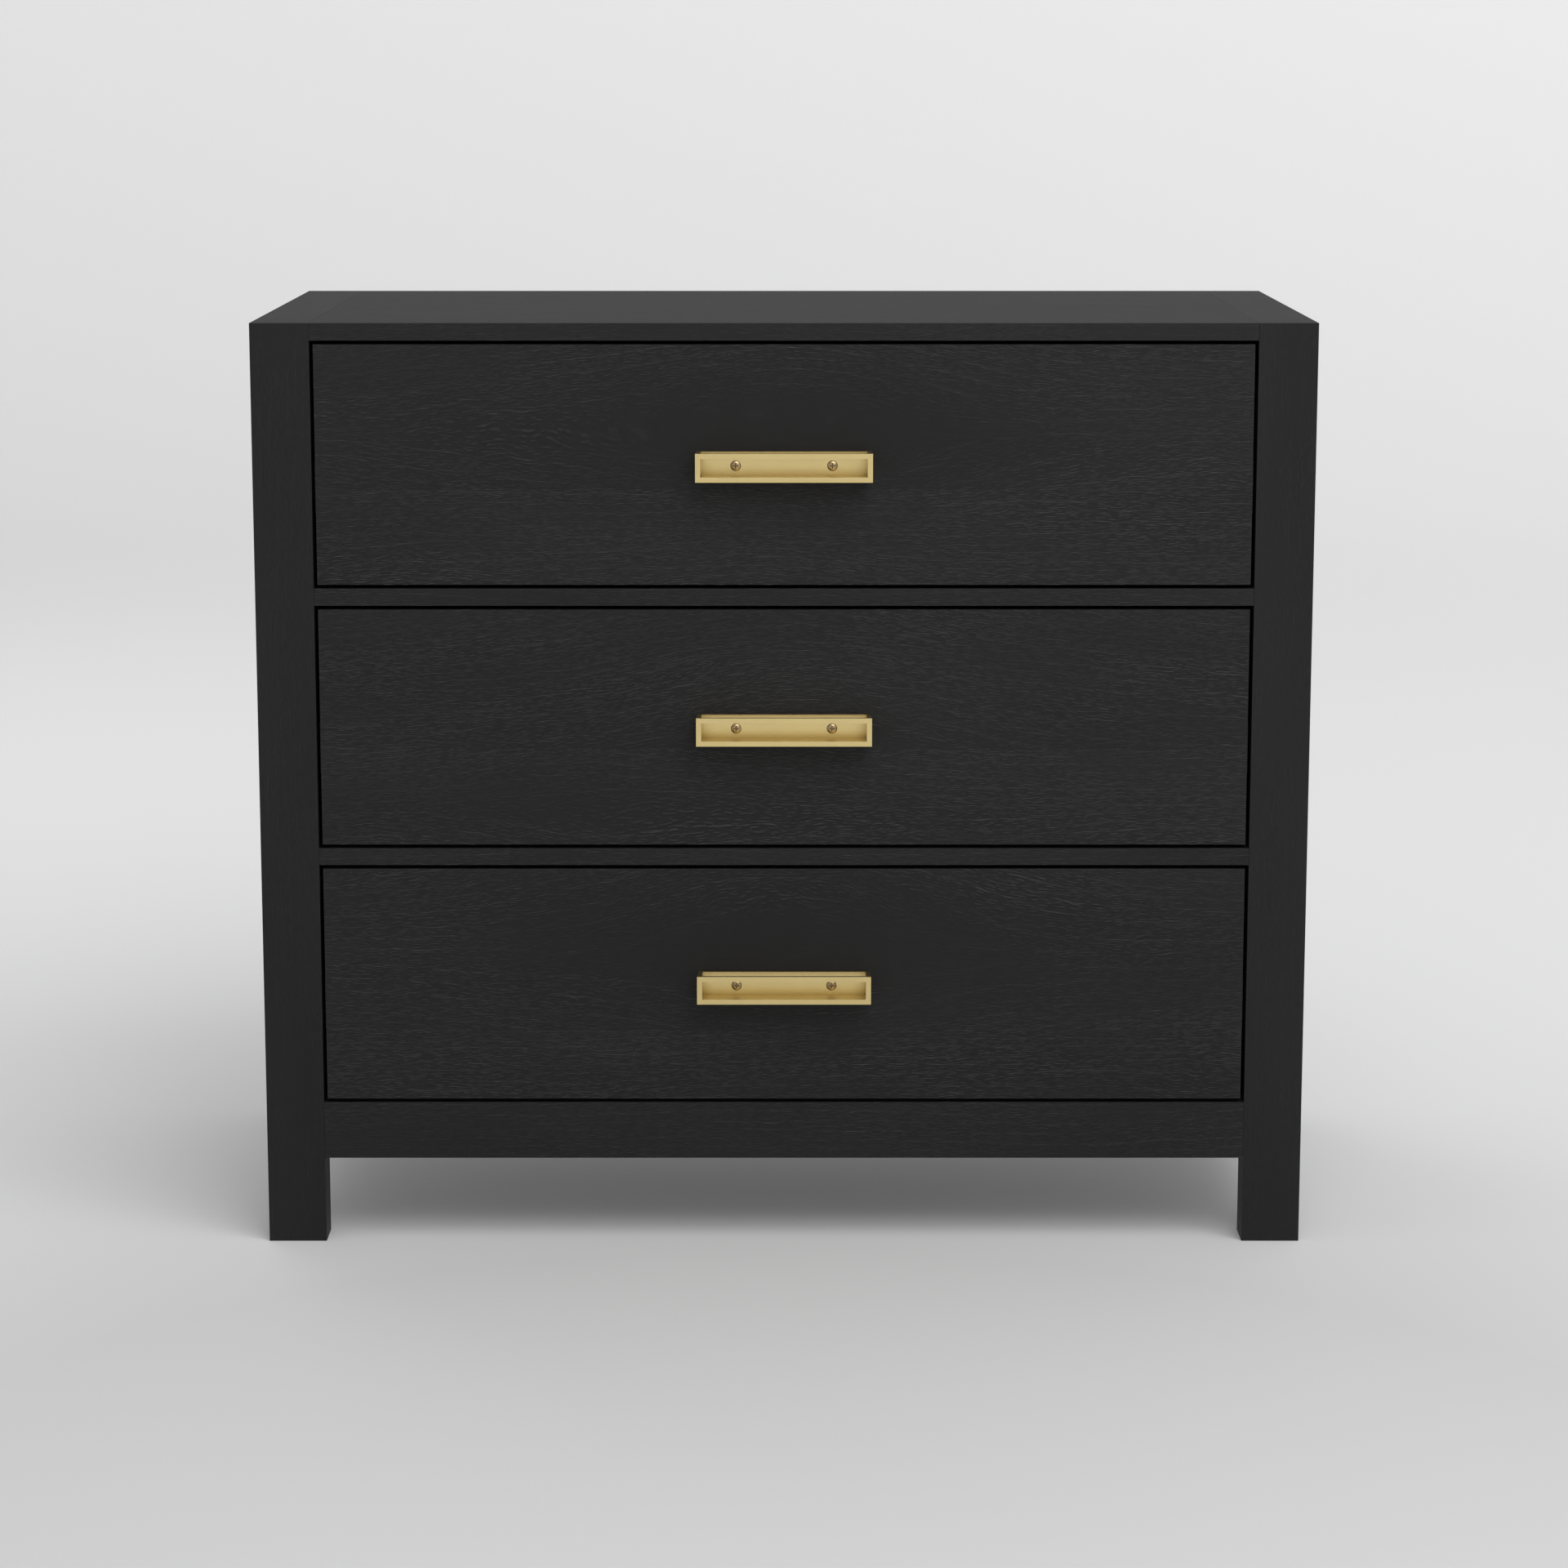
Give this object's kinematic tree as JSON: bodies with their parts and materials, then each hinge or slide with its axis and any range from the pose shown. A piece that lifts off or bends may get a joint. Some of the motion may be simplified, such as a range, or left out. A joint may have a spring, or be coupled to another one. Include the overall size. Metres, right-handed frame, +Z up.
{
  "type": "chest of drawers",
  "caption": "Black-stained oak bedside chest with inset drawers on telescopic slides, framed brass pulls and straight square legs.",
  "frame": {"origin": "bottom centre of the overall box, on the floor", "axes": "+X along the width, to the right for someone facing the drawers; +Y from front to back, so the drawers open towards -Y; +Z up"},
  "size_m": [0.9144, 0.4826, 0.8128],
  "materials": {
    "black_oak": "black-stained open-grain oak, satin-matt",
    "black_ply": "black-stained plywood, matt",
    "drawer_wood": "clear-lacquered solid wood",
    "black_steel": "black-plated sheet steel",
    "satin_brass": "satin brass",
    "antique_brass": "dark antique brass"
  },
  "bodies": {
    "carcass": {"top_panel": "black_oak", "divider_rail_1": "black_oak", "divider_rail_2": "black_oak", "front_bottom_rail": "black_oak", "rear_top_rail": "black_oak", "back_panel": "black_ply", "bottom_panel": "black_ply", "leg_front_left": "black_oak", "leg_rear_left": "black_oak", "side_top_rail_left": "black_oak", "side_panel_left": "black_oak", "leg_front_right": "black_oak", "leg_rear_right": "black_oak", "side_top_rail_right": "black_oak", "side_panel_right": "black_oak", "slide_cabinet_left_1": "black_steel", "slide_cabinet_right_1": "black_steel", "slide_cabinet_left_2": "black_steel", "slide_cabinet_right_2": "black_steel", "slide_cabinet_left_3": "black_steel", "slide_cabinet_right_3": "black_steel"},
    "slide_pair_1": {"slide_middle_left_1": "black_steel", "slide_middle_right_1": "black_steel"},
    "drawer_1": {"drawer_front_1": "black_oak", "box_front_1": "drawer_wood", "box_back_1": "drawer_wood", "box_side_left_1": "drawer_wood", "box_side_right_1": "drawer_wood", "box_bottom_1": "drawer_wood", "slide_drawer_left_1": "black_steel", "slide_drawer_right_1": "black_steel", "pull_1": "satin_brass", "pull_screw_left_1": "antique_brass", "pull_screw_right_1": "antique_brass"},
    "slide_pair_2": {"slide_middle_left_2": "black_steel", "slide_middle_right_2": "black_steel"},
    "drawer_2": {"drawer_front_2": "black_oak", "box_front_2": "drawer_wood", "box_back_2": "drawer_wood", "box_side_left_2": "drawer_wood", "box_side_right_2": "drawer_wood", "box_bottom_2": "drawer_wood", "slide_drawer_left_2": "black_steel", "slide_drawer_right_2": "black_steel", "pull_2": "satin_brass", "pull_screw_left_2": "antique_brass", "pull_screw_right_2": "antique_brass"},
    "slide_pair_3": {"slide_middle_left_3": "black_steel", "slide_middle_right_3": "black_steel"},
    "drawer_3": {"drawer_front_3": "black_oak", "box_front_3": "drawer_wood", "box_back_3": "drawer_wood", "box_side_left_3": "drawer_wood", "box_side_right_3": "drawer_wood", "box_bottom_3": "drawer_wood", "slide_drawer_left_3": "black_steel", "slide_drawer_right_3": "black_steel", "pull_3": "satin_brass", "pull_screw_left_3": "antique_brass", "pull_screw_right_3": "antique_brass"}
  },
  "joints": [
    {"name": "drawer_1_slide", "type": "slide", "parent": "carcass", "child": "drawer_1", "axis": [0, -1, 0], "range_m": [0, 0.38]},
    {"name": "slide_pair_1_slide", "type": "slide", "parent": "carcass", "child": "slide_pair_1", "axis": [0, -1, 0], "range_m": [0, 0.19]},
    {"name": "drawer_2_slide", "type": "slide", "parent": "carcass", "child": "drawer_2", "axis": [0, -1, 0], "range_m": [0, 0.38]},
    {"name": "slide_pair_2_slide", "type": "slide", "parent": "carcass", "child": "slide_pair_2", "axis": [0, -1, 0], "range_m": [0, 0.19]},
    {"name": "drawer_3_slide", "type": "slide", "parent": "carcass", "child": "drawer_3", "axis": [0, -1, 0], "range_m": [0, 0.38]},
    {"name": "slide_pair_3_slide", "type": "slide", "parent": "carcass", "child": "slide_pair_3", "axis": [0, -1, 0], "range_m": [0, 0.19]}
  ],
  "couplings": [
    {"joint": "slide_pair_1_slide", "follows": "drawer_1_slide", "ratio": 0.5},
    {"joint": "slide_pair_2_slide", "follows": "drawer_2_slide", "ratio": 0.5},
    {"joint": "slide_pair_3_slide", "follows": "drawer_3_slide", "ratio": 0.5}
  ]
}
